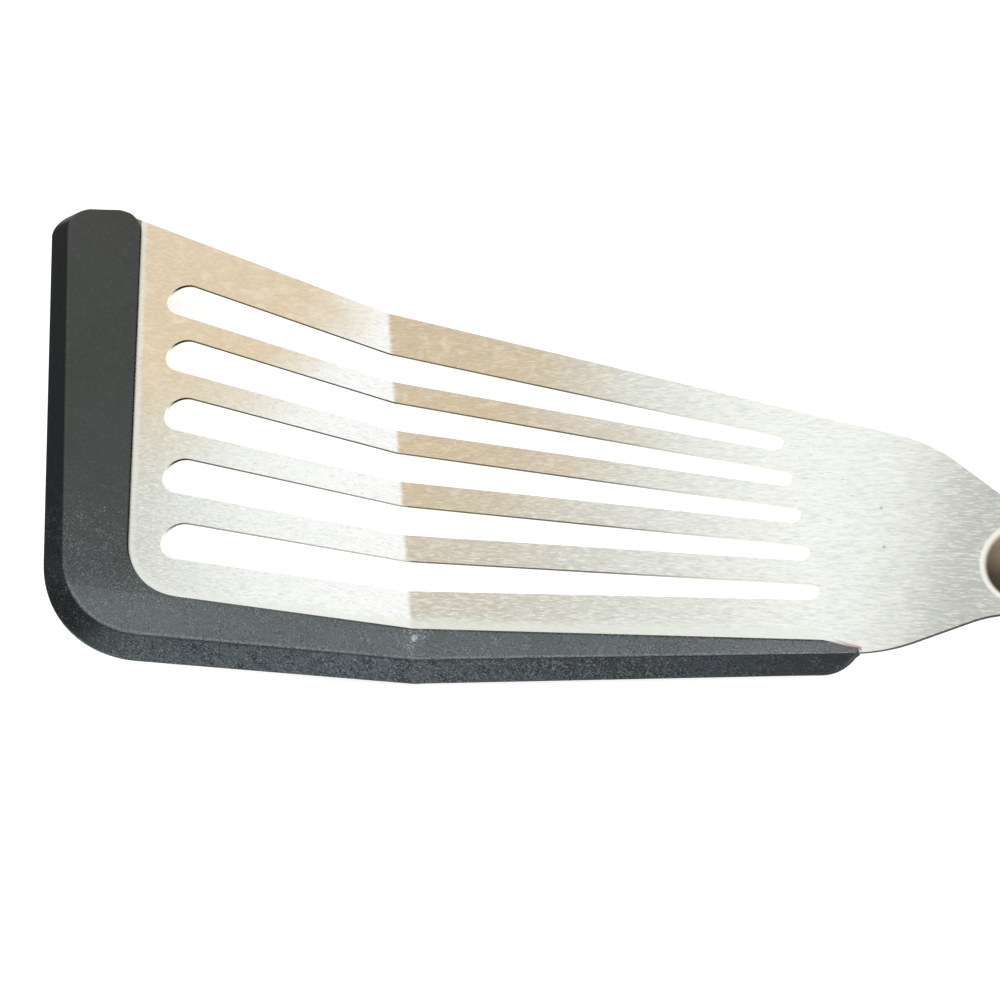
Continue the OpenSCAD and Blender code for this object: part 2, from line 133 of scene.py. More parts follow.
# Handle
HANDLE_X = 138.009
HANDLE_L = 116
HANDLE_W = (18, 25, 22, 25)
HANDLE_SHARE = (0, 0.56, 0.82, 1)
HANDLE_R = (8, 160, 60, 11)
RAMP_L = 7
RAMP_R = 5
SCALE_T = 7
CROWN_DROP = 2.5
CROWN_R = 17
CROWN_BLEND = 0.8
SCALE_FRONT_ANGLE = math.radians(35)
SCALE_EDGE_R = 1.3
SCALE_BLEND = 1.6
SCALE_LEAST = 0.03
HOLE_FLARE = 0.12
RIVET_X = (155.009, 186.009, 217.009)
RIVET_HEAD_R = 3.4
RIVET_STEM_R = 2.2
RIVET_PIN_R = 1.5
RIVET_SEAT = 2.6
RIVET_GAP = 0.05
RIVET_HOLE_R = RIVET_STEM_R + RIVET_GAP
EYELET_X = 242.009
EYELET_BORE_R = 3
EYELET_WALL = 0.6
EYELET_FLANGE_R = 5
EYELET_ROLL_R = 0.55
EYELET_SEAT = 4.22855
EYELET_GAP = 0.05
EYELET_HOLE_R = EYELET_BORE_R + EYELET_WALL + EYELET_GAP
AXIS_R = 0.002


# Plane geometry

def turned(p, angle):
    c, s = math.cos(angle), math.sin(angle)
    return np.array([p[0] * c - p[1] * s, p[0] * s + p[1] * c])


def unit(v):
    return v / norm(v)


def arc(centre, r, start, turn, steps):
    angles = [start + turn * i / steps for i in range(steps + 1)]
    return [centre + r * np.array([math.cos(a), math.sin(a)]) for a in angles]


def quarter_turn(steps):
    return [math.pi / 2 * i / steps for i in range(steps + 1)]


def between(a, b, pieces):
    """The points that cut the line from a to b into equal pieces, without its ends."""
    return [a + (b - a) * j / pieces for j in range(1, pieces)]


def rounded_corner(p, q, r, radius, steps):
    """Points of the arc that rounds the corner q between p and r."""
    u, v = unit(p - q), unit(r - q)
    half = math.acos(float(np.clip(u @ v, -1, 1))) / 2
    centre = q + unit(u + v) * radius / math.sin(half)
    start, end = (math.atan2(*(q + w * radius / math.tan(half) - centre)[::-1]) for w in (u, v))
    return arc(centre, radius, start, (end - start + math.pi) % (2 * math.pi) - math.pi, steps)


def corner_arcs(corners):
    """The arc that rounds each corner (point, radius, steps) of a loop."""
    sharp = [np.array(point, float) for point, _, _ in corners]
    arcs = []
    for i, (_, radius, steps) in enumerate(corners):
        after = sharp[(i + 1) % len(sharp)]
        arcs.append(rounded_corner(sharp[i - 1], sharp[i], after, radius, steps) if radius > 0
                    else [sharp[i]] * (steps + 1))
    return arcs


def outline(corners, run=1.5):
    """A loop from corners (x, y, radius), with its straight runs cut into pieces of about run mm."""
    arcs = corner_arcs([((x, y), r, int(max(6, min(40, r * 1.2))) if r > 0 else 0) for x, y, r in corners])
    points = []
    for found, following in zip(arcs, arcs[1:] + arcs[:1]):
        start, end = found[-1], following[0]
        points += found + between(start, end, int(norm(end - start) / run) + 1)
    return thinned(points)


def thinned(points, least=1e-3):
    kept = []
    for p in points:
        if not kept or norm(p - kept[-1]) > least:
            kept.append(p)
    if norm(kept[0] - kept[-1]) <= least:
        kept.pop()
    return np.array(kept)


def inward(loop):
    """Normals of a loop towards its left, scaled so that a shift by them keeps its sides parallel."""
    along = np.roll(loop, -1, axis=0) - loop
    along /= norm(along, axis=1)[:, None]
    left = np.stack([-along[:, 1], along[:, 0]], axis=1)
    before = np.roll(left, 1, axis=0)
    return (left + before) / (1 + np.sum(left * before, axis=1))[:, None]


def inward_unit(loop):
    """Unit normals of a loop towards its left, that also hold where points fall together."""
    step = np.roll(loop, -1, axis=0) - loop
    size = norm(step, axis=1)[:, None]
    along = np.where(size > 1e-6, step / np.maximum(size, 1e-9), 0)
    total = along + np.roll(along, 1, axis=0)
    total /= np.maximum(norm(total, axis=1)[:, None], 1e-9)
    return np.stack([-total[:, 1], total[:, 0]], axis=1)


def inside(points, loop):
    a, b = loop, np.roll(loop, -1, axis=0)
    x, y = points[:, 0:1], points[:, 1:2]
    crosses = (a[:, 1] > y) != (b[:, 1] > y)
    with np.errstate(divide="ignore", invalid="ignore"):
        at = (b[:, 0] - a[:, 0]) * (y - a[:, 1]) / (b[:, 1] - a[:, 1]) + a[:, 0]
    return np.sum(crosses & (x < at), axis=1) % 2 == 1


def distance_to(points, line):
    """Distance of each point to a polyline."""
    best = np.full(len(points), 1e9)
    for p, q in zip(line[:-1], line[1:]):
        d = q - p
        k = np.clip(((points - p) @ d) / (d @ d), 0, 1)
        best = np.minimum(best, norm(points - (p + k[:, None] * d), axis=1))
    return best


def on_line(line, x):
    return np.array([x, line[0] + line[1] * x])


def line_through(p, q):
    slope = (q[1] - p[1]) / (q[0] - p[0])
    return (p[1] - slope * p[0], slope)


def meet(p, u, q, v):
    """Where the line through p along u meets the line through q along v."""
    m = np.array([[u[0], -v[0]], [u[1], -v[1]]])
    return p + u * np.linalg.solve(m, q - p)[0]


def side_line(side, half):
    """The line that follows a side of the head, half from the handle line at the crease's middle."""
    reach = 100
    ends = ((0, side * half), (reach, side * (half - reach * math.tan(SIDE_ANGLE))))
    return line_through(*(turned(p, -SKEW) for p in ends))


# Placing the flat pattern

BEAD_R = ((BEAD_W / 2) ** 2 + BEAD_D ** 2) / (2 * BEAD_D)
BEAD_Z = BEAD_R - BEAD_D
RIM_OUTER = math.sqrt((BEAD_R + BEAD_RIM_R) ** 2 - (BEAD_Z + BEAD_RIM_R) ** 2)
RIM_INNER = BEAD_R * RIM_OUTER / (BEAD_R + BEAD_RIM_R)


def bead_surface(u, v):
    """Height of the pressed bead at handle points and its slope along u and v."""
    along = u - np.clip(u, BEAD_X, BEAD_X + BEAD_L)
    d = np.hypot(along, v)
    deep = d < RIM_INNER
    reach = np.where(deep, d, np.maximum(RIM_OUTER - d, 0))
    root = np.sqrt(np.where(deep, BEAD_R, BEAD_RIM_R) ** 2 - reach ** 2)
    slope = reach / root / np.maximum(d, 1e-9)
    return np.where(deep, BEAD_Z - root, root - BEAD_RIM_R), slope * along, slope * v


def fold(flat):
    """Bends the front panel up about the crease, over a short arc."""
    s, t, z = flat[:, 0], flat[:, 1], flat[:, 2]
    cos, sin = math.cos(BEND), math.sin(BEND)
    k = np.clip((BEND_HALF - s) / (2 * BEND_HALF), 0, 1)
    base_x = (1 - k) ** 2 * BEND_HALF - k ** 2 * BEND_HALF * cos
    base_z = k ** 2 * BEND_HALF * sin
    beyond, before = np.maximum(s - BEND_HALF, 0), np.minimum(s + BEND_HALF, 0)
    normal_x, normal_z = k * sin, (1 - k) + k * cos
    size = np.hypot(normal_x, normal_z)
    return np.stack([base_x + beyond + before * cos + z * normal_x / size, t,
                     base_z - before * sin + z * normal_z / size], axis=1)


def place_handle(points):
    """Handle frame in mm to the row's frame in metres. Places a piece on the tang's upper face."""
    x, y, z = points[:, 0], points[:, 1], points[:, 2]
    cos, sin = math.cos(TILT), math.sin(TILT)
    return (np.stack([x * cos - z * sin, y, z * cos + x * sin], axis=1) - CENTRE) * MM


def place_flat(flat):
    """Flat pattern in the head frame to the row's frame, folded and with the bead pressed in."""
    folded = fold(flat)
    u, v = turned(folded.T, SKEW)
    height, slope_u, slope_v = bead_surface(u, v)
    z = folded[:, 2]
    size = np.sqrt(1 + slope_u ** 2 + slope_v ** 2)
    return place_handle(np.stack([u - z * slope_u / size, v - z * slope_v / size, height + z / size], axis=1))


def below(points):
    """Places a piece, upside down, on the tang's lower face."""
    return place_handle(points * (1, 1, -1) - (0, 0, SHEET))


# Meshes

def add_object(name, data):
    made = bpy.data.objects.new(name, data)
    bpy.context.scene.collection.objects.link(made)
    return made


def mesh_object(name, shape, place, material, cuts=()):
    """An object from shape (vertices, faces), cut at each s of cuts and placed."""
    vertices, faces = shape
    bm = bmesh.new()
    made = [bm.verts.new(v) for v in vertices]
    for f in faces:
        if len(set(f)) == len(f):
            bm.faces.new([made[i] for i in f])
    for s in cuts:
        geometry = list(bm.verts) + list(bm.edges) + list(bm.faces)
        bmesh.ops.bisect_plane(bm, geom=geometry, dist=1e-5, plane_co=(s, 0, 0), plane_no=(1, 0, 0))
    bmesh.ops.remove_doubles(bm, verts=bm.verts, dist=1e-5)
    flat = np.array([tuple(v.co) for v in bm.verts])
    for v, p in zip(bm.verts, place(flat)):
        v.co = p
    bmesh.ops.recalc_face_normals(bm, faces=bm.faces)
    mesh = bpy.data.meshes.new(name)
    bm.to_mesh(mesh)
    bm.free()
    mesh.polygons.foreach_set("use_smooth", [True] * len(mesh.polygons))
    mesh.materials.append(material)
    obj = add_object(name, mesh)
    obj.modifiers.new("weighted", "WEIGHTED_NORMAL").weight = 100
    return obj


def triangles(loops, extra_loops=(), extra_points=()):
    """Fills loops[0] less the other loops. Returns all points and the triangles between them."""
    points, edges = [], []
    for loop in list(loops) + list(extra_loops):
        first = len(points)
        points += [Vector(p) for p in loop]
        edges += [(first + i, first + (i + 1) % len(loop)) for i in range(len(loop))]
    points += [Vector(p) for p in extra_points]
    found, _, faces, origin, _, _ = delaunay_2d_cdt(points, edges, [], 0, 1e-6)
    flat = np.array([tuple(p) for p in found])
    faces = np.array(faces)
    middle = flat[faces].mean(axis=1)
    keep = inside(middle, loops[0])
    for hole in loops[1:]:
        keep &= ~inside(middle, hole)
    points = [tuple(p) for p in points]
    source = []
    for p, o in zip(found, origin):
        if not o:
            points.append(tuple(p))
        source.append(min(o) if o else len(points) - 1)
    return points, [tuple(source[i] for i in f) for f in faces[keep]]


def fill(shape, rings, height, extra_loops=(), extra_points=()):
    """Adds to shape the faces that fill the first of rings (first vertex, loop) less the others. New points
    get the height, a number or a function of points."""
    vertices, faces = shape
    points, filled = triangles([loop for _, loop in rings], extra_loops, extra_points)
    index = [first + i for first, loop in rings for i in range(len(loop))]
    new = np.array(points[len(index):]).reshape(-1, 2)
    index += range(len(vertices), len(vertices) + len(new))
    vertices += [tuple(p) for p in raised(new, height(new) if callable(height) else height)]
    faces += [tuple(index[i] for i in f) for f in filled]


def band(a, b, n):
    """Faces between two rings of n vertices that start at a and b."""
    return [(a + i, b + i, b + (i + 1) % n, a + (i + 1) % n) for i in range(n)]


def raised(points, z):
    """Plane points at a height z, or at a height each."""
    return np.column_stack([points, np.broadcast_to(z, len(points))])


def add_rings(shape, rings):
    """Adds rings of equally many points to shape, each joined to the next. Returns their first vertices."""
    vertices, faces = shape
    n = len(rings[0])
    starts = [len(vertices) + j * n for j in range(len(rings))]
    vertices += [tuple(p) for ring in rings for p in ring]
    for a, b in zip(starts, starts[1:]):
        faces += band(a, b, n)
    return starts


def slab(loops, profile, extra_loops):
    """A plate: each loop swept down through profile (inset, z), with two filled caps."""
    shape = ([], [])
    swept = []
    for loop in loops:
        normals = inward(loop)
        rings = [raised(loop + normals * inset, z) for inset, z in profile]
        swept.append((add_rings(shape, rings), rings))
    for side in (0, -1):
        rims = [(starts[side], rings[side][:, :2]) for starts, rings in swept]
        fill(shape, rims, profile[side][1], extra_loops)
    return shape


def edge_profile(r, depth, steps=4):
    """(inset, z) down the edge of a plate with rounded arrises."""
    quarter = [(r * (1 - math.sin(a)), -r * (1 - math.cos(a))) for a in quarter_turn(steps)]
    return quarter + [(inset, -depth - z) for inset, z in reversed(quarter)]


def lathe(profile, x, steps, closed=False):
    """Turns profile about the upright axis through (x, 0). It holds pairs of a radius and a height, which
    is a number or a function of a point's x and y. An open profile is capped at both ends."""
    rings = []
    for r, z in profile:
        circle = [(x + r * math.cos(a), r * math.sin(a))
                  for a in (2 * math.pi * i / steps for i in range(steps))]
        rings.append([(*p, z(*p) if callable(z) else z) for p in circle])
    shape = ([], [])
    starts = add_rings(shape, rings)
    if closed:
        shape[1].extend(band(starts[-1], starts[0], steps))
    else:
        shape[1].extend(tuple(range(first, first + steps)) for first in (starts[0], starts[-1]))
    return shape


# Node materials

def linear(r, g, b):
    """A colour of 0 to 255 as the eye sees it, in linear light."""
    return tuple(((c / 255 + 0.055) / 1.055) ** 2.4 if c > 10 else c / 255 / 12.92 for c in (r, g, b))


class Nodes:
    """Short calls that add nodes to the shader of a world or a material. Colours are given from 0 to 255 as
    the eye sees them."""

    def __init__(self, owner, shader):
        owner.use_nodes = True
        self.tree = owner.node_tree
        self.shader = self.tree.nodes[shader]

    def plug(self, value, socket):
        if isinstance(value, bpy.types.NodeSocket):
            self.tree.links.new(value, socket)
        else:
            socket.default_value = value

    def node(self, kind, *values, **settings):
        """A node with values on its first sockets, and with settings for its properties and named sockets."""
        made = self.tree.nodes.new("ShaderNode" + kind)
        for key, value in settings.items():
            if hasattr(made, key):
                setattr(made, key, value)
            else:
                self.plug(value, made.inputs[key])
        for value, socket in zip(values, made.inputs):
            self.plug(value, socket)
        return made

    def math(self, operation, *values):
        return self.node("Math", *values, operation=operation).outputs[0]

    def chain(self, operation, values):
        total = values[0]
        for value in values[1:]:
            total = self.math(operation, total, value)
        return total

    def plus(self, *values):
        return self.chain("ADD", values)

    def minus(self, *values):
        return self.chain("SUBTRACT", values)

    def times(self, *values):
        return self.chain("MULTIPLY", values)

    def least(self, *values):
        return self.chain("MINIMUM", values)

    def most(self, *values):
        return self.chain("MAXIMUM", values)

    def hypot(self, a, b):
        return self.math("SQRT", self.plus(self.times(a, a), self.times(b, b)))

    def where(self):
        return self.node("TexCoord").outputs["Object"]

    def dot(self, vector, direction):
        return self.node("VectorMath", vector, tuple(direction), operation="DOT_PRODUCT").outputs["Value"]

    def along(self, direction):
        """Distance in mm from the flat pattern's origin along a direction of the row's frame."""
        return self.plus(self.dot(self.where(), direction / MM), float(CENTRE @ direction))

    def facing(self, direction):
        """How far the surface faces a direction, from -1 to 1."""
        return self.dot(self.node("NewGeometry").outputs["Normal"], direction)

    def unfolded(self):
        """The place (s, t, z) in the flat pattern, for the front panel and for the rest."""
        s = self.plus(self.least(self.along(PANEL_WAY), 0.0), self.most(self.along(HEAD_WAY), 0.0))
        z = self.least(self.along(PANEL_UP), self.along(REAR_UP))
        return s, self.along(CREASE_WAY), z

    def distance(self, x, y, point):
        place = self.node("CombineXYZ", x, y).outputs[0]
        return self.node("VectorMath", place, (*point, 0), operation="DISTANCE").outputs["Value"]

    def noise(self, scale, detail, roughness, distortion=0.0, turn=0.0):
        """Noise over the place in mm, turned about z and then scaled."""
        mm = self.node("Mapping", Vector=self.where(), Scale=(1 / MM, 1 / MM, 1 / MM), Rotation=(0, 0, turn))
        place = self.node("Mapping", Vector=mm.outputs[0], Scale=scale).outputs[0]
        return self.node("TexNoise", Vector=place, Scale=1.0, Detail=detail, Roughness=roughness,
                         Distortion=distortion).outputs[0]

    def span(self, value, low, high, out_low=0.0, out_high=1.0, kind="SMOOTHSTEP"):
        return self.node("MapRange", value, low, high, out_low, out_high, interpolation_type=kind).outputs[0]

    def mix(self, factor, a, b, blend="MIX"):
        made = self.node("Mix", factor, data_type="RGBA", blend_type=blend)
        for value, socket in ((a, made.inputs[6]), (b, made.inputs[7])):
            self.plug(value if isinstance(value, bpy.types.NodeSocket) else (*linear(*value), 1), socket)
        return made.outputs[2]

    def lay(self, colour, *tones):
        """Lays tones (factor, tone) over a colour, one after the other."""
        for factor, tone in tones:
            colour = self.mix(factor, colour, tone)
        return colour

    def ramp(self, value, stops):
        """A colour that runs through stops (value, r, g, b)."""
        low, high = stops[0][0], stops[-1][0]
        made = self.node("ValToRGB", self.span(value, low, high, kind="LINEAR"))
        elements = made.color_ramp.elements
        for stop in stops[1:-1]:
            elements.new((stop[0] - low) / (high - low))
        for element, (_, *colour) in zip(elements, stops):
            element.color = (*linear(*colour), 1)
        return made.outputs[0]

    def white_where_seen(self, socket, ambient, seen=1.0):
        """Plain light of strength ambient, and of strength seen for camera, glossy and transmission rays."""
        rays = self.node("LightPath").outputs
        any_of = self.most(*(rays[f"Is {kind} Ray"] for kind in ("Camera", "Glossy", "Transmission")))
        self.plug(self.span(any_of, 0, 1, ambient, seen, kind="LINEAR"), self.shader.inputs[socket])


class Material(Nodes):
    """A material with a Principled shader."""

    def __init__(self, name, **settings):
        self.material = bpy.data.materials.new(name)
        super().__init__(self.material, "Principled BSDF")
        for key, value in settings.items():
            self.shader.inputs[key.replace("_", " ").title().replace("Ior", "IOR")].default_value = value

    def finish(self, colour, rough, height, strength, distance):
        """Joins the colour, the roughness and a bump to the shader."""
        bump = self.node("Bump", Height=height, Strength=strength, Distance=distance).outputs[0]
        for value, socket in ((colour, "Base Color"), (rough, "Roughness"), (bump, "Normal")):
            self.plug(value, self.shader.inputs[socket])
        return self.material


# Directions of the handle frame, the head frame and the front panel in the row's frame
HANDLE_WAY = np.array([math.cos(TILT), 0, math.sin(TILT)])
ACROSS_WAY = np.array([0.0, 1.0, 0.0])
REAR_UP = np.array([-math.sin(TILT), 0, math.cos(TILT)])
HEAD_WAY = math.cos(SKEW) * HANDLE_WAY + math.sin(SKEW) * ACROSS_WAY
CREASE_WAY = -math.sin(SKEW) * HANDLE_WAY + math.cos(SKEW) * ACROSS_WAY
PANEL_WAY = math.cos(BEND) * HEAD_WAY - math.sin(BEND) * REAR_UP
PANEL_UP = math.sin(BEND) * HEAD_WAY + math.cos(BEND) * REAR_UP

# The line where the bare steel meets the silicone on the near side
BARE_LINE = side_line(-1, HEAD_W / 2 - TIP_LAP)


def above_bare_line(m, s, t):
    """Distance in mm from the line where the steel meets the silicone on the near side."""
    line = m.plus(m.times(s, BARE_LINE[1]), BARE_LINE[0])
    return m.times(m.minus(t, line), 1 / math.hypot(1, BARE_LINE[1]))


def from_silicone(m, s, t):
    """Distance in mm from the silicone, round its inner corner."""
    way = unit(np.array([1, BARE_LINE[1]]))
    centre_s = FRONT_S + INNER_CORNER_R
    centre_t = on_line(BARE_LINE, centre_s)[1] + INNER_CORNER_R / way[0]
    from_s, from_t = m.minus(s, centre_s), m.minus(t, centre_t)
    along_side = m.plus(m.times(from_s, way[0]), m.times(from_t, way[1]))
    in_corner = m.times(m.math("LESS_THAN", from_t, 0.0), m.math("LESS_THAN", along_side, 0.0))
    rounded = m.minus(INNER_CORNER_R, m.hypot(from_s, from_t))
    straight = m.least(m.minus(s, FRONT_S), above_bare_line(m, s, t))
    return m.plus(m.times(in_corner, m.minus(rounded, straight)), straight)


def steel_material():
    brushed = -0.1
    stain_s, stain_t, stain_slope = 58.99, -44.84, -0.698
    m = Material("brushed_steel", metallic=1.0)
    s, t, z = m.unfolded()
    u, v = m.along(HANDLE_WAY), m.along(ACROSS_WAY)
    streaks = m.noise((0.3, 2.6, 2.6), 2, 0.6, 0.3, turn=brushed)
    dashes = m.noise((0.75, 4.4, 4.4), 3, 0.65, 0.35, turn=brushed)
    fine = m.noise((0.9, 12, 12), 2, 0.5, turn=brushed)
    scratches = m.noise((0.12, 5, 5), 1, 0.5, turn=brushed * 2.2)
    cloud = m.noise((0.05, 0.09, 0.09), 3, 0.55)
    blotch = m.noise((0.35, 0.6, 0.6), 4, 0.65, 0.6)
    wobble = m.span(cloud, 0.3, 0.7, -6, 6)

    # Painted reflections on the head: pale towards the crease in front of it and towards the neck behind it,
    # and tan towards its far side
    lean = m.minus(m.plus(s, wobble), m.times(t, 0.8))
    front = m.ramp(s, ((-43, 209, 210, 201), (-34, 224, 228, 222), (-24, 240, 243, 239), (-10, 249, 251, 248),
                       (-1, 251, 252, 249)))
    far = m.times(m.span(lean, -23, -50), m.span(t, 0, 32))
    front = m.mix(far, front, (223, 205, 174))
    rear = m.ramp(s, ((0, 205, 202, 188), (14, 204, 203, 192), (30, 214, 216, 208), (44, 227, 230, 223),
                      (58, 242, 245, 239)))
    warm_reflection = m.times(m.span(m.plus(s, wobble), 54, 12), m.span(t, -26, 2, 0.15, 1))
    rear = m.mix(warm_reflection, rear, (209, 191, 160))
    colour = m.mix(m.span(s, -0.5, 0.5), front, rear)
    # Painted reflection along the neck, darkest where it narrows
    neck = m.ramp(u, ((68, 240, 243, 237), (74, 236, 239, 233), (80, 221, 224, 216), (84, 200, 203, 195),
                      (88, 190, 193, 184), (104, 209, 212, 206), (250, 216, 218, 213)))
    colour = m.mix(m.span(u, 64, 72), colour, neck)

    # Brushing in short pale dashes, a few long scratches and duller blotches
    shade = m.times(m.span(streaks, 0.32, 0.68, 0.972, 1.054), m.span(fine, 0.3, 0.7, 0.96, 1.03),
                    m.span(blotch, 0.35, 0.65, 0.975, 1.015))
    grey = m.node("CombineColor", shade, shade, shade).outputs[0]
    colour = m.mix(1.0, colour, grey, "MULTIPLY")
    calm = m.most(m.times(far, m.span(s, 0, -1)), m.times(warm_reflection, m.span(s, 0, 1, 0, 0.8)))
    keen = m.times(m.span(calm, 0, 1, 1, 0.3), m.span(u, 60, 84, 0.95, 0.8))
    colour = m.lay(colour, (m.times(m.span(dashes, 0.51, 0.62, 0, 0.58), keen), (250, 250, 244)),
                   (m.times(m.span(dashes, 0.46, 0.36, 0, 0.28), keen), (172, 168, 155)),
                   (m.span(scratches, 0.7, 0.76, 0, 0.35), (252, 251, 246)),
                   (m.times(m.span(blotch, 0.52, 0.66, 0, 0.4), calm), (238, 231, 212)))

    # Two small pits in the neck
    pits = m.least(m.distance(s, t, (68.8, -28.6)), m.distance(s, t, (67.86, -34.13)))
    colour = m.mix(m.span(pits, 0.34, 0.12, 0, 0.45), colour, (120, 122, 118))

    # A paler strip beside the silicone, and painted shade right under its lip
    gap = from_silicone(m, s, t)
    beside = m.times(m.span(s, 60, 56), m.span(m.facing(REAR_UP), 0, 0.3))
    ragged = m.plus(gap, m.times(m.span(streaks, 0.3, 0.7, -1, 1), m.span(s, -30, 0, 0.3, 0.6)))
    pale_strip = m.span(ragged, m.span(s, -30, 0, 1.5, 2.6), m.span(s, -30, 0, 0.7, 1), 0, 0.65)
    colour = m.lay(colour, (m.times(pale_strip, beside), (234, 238, 229)),
                   (m.times(m.span(gap, 0.2, 0.05, 0, 0.75), beside), (70, 62, 52)))

    # A brown stain along the slanting end of the silicone
    to_stain = m.minus(t, stain_t, m.times(m.minus(s, stain_s), stain_slope))
    stain = m.times(m.span(m.math("ABSOLUTE", to_stain), m.span(s, 60, 61.5, 0.28, 0.42), 0.1),
                    m.span(s, 58.4, 60), m.span(s, 62.1, 61.8), m.span(blotch, 0.2, 0.45, 0.5, 0.9))
    colour = m.mix(stain, colour, m.ramp(s, ((59, 214, 196, 180), (61, 194, 170, 150), (62, 136, 120, 100))))

    # Painted highlight on the bead's rim, and painted reflection and shade in the bead, darkest below its
    # front end
    past_bead = m.minus(u, m.least(m.most(u, BEAD_X), BEAD_X + BEAD_L))
    from_axis = m.hypot(past_bead, v)
    bead_reflection_shade = m.ramp(m.minus(u, BEAD_X, v),
                  ((-9.5, 204, 186, 161), (-6, 145, 127, 103), (-2, 86, 71, 54), (10, 107, 96, 79),
                   (26, 156, 149, 136), (42, 176, 171, 160)))
    upper = m.span(m.facing(REAR_UP), 0, 0.2)
    rim = m.times(m.span(from_axis, RIM_OUTER + 0.1, RIM_OUTER - 0.3, 0, 0.9), upper)
    in_bead = m.times(m.span(from_axis, RIM_INNER + 0.5, RIM_INNER - 0.1, 0, 0.95), upper)
    colour = m.lay(colour, (rim, (248, 248, 240)), (in_bead, bead_reflection_shade))

    # Sheared edges: pale walls, with painted shade as a dark line under the upper arris that fades at the
    # ends of the slots, and as dark walls along the neck
    level = m.most(m.math("ABSOLUTE", m.facing(REAR_UP)), m.math("ABSOLUTE", m.facing(PANEL_UP)))
    wall = m.span(level, 0.75, 0.4)
    deeper = m.times(m.span(u, 76, 94, 0, 0.6), m.span(u, 128, 108))
    on_head = m.times(m.span(s, -38.4, -36.6), m.span(s, 54, 26, 0.15, 1),
                      m.most(m.span(s, -1, 1), m.span(t, -25, 12, 0.4, 1)))
    on_neck = m.times(m.span(u, 70, 74), m.span(u, 132, 112, 0.3, 1))
    arris_shade = m.times(m.span(m.plus(z, deeper), -0.62, -0.46), m.most(on_head, on_neck))
    sheared = m.mix(m.span(u, 110, 128), (244, 242, 234), (196, 197, 192))
    colour = m.mix(wall, colour, m.mix(arris_shade, sheared, (34, 30, 26)))

    rough = m.plus(m.span(streaks, 0.35, 0.7, 0.26, 0.38), m.span(cloud, 0.3, 0.7, -0.03, 0.03),
                   m.times(rim, 0.2))
    return m.finish(colour, rough, m.plus(dashes, m.times(fine, 0.5)), 0.25, 0.00004)


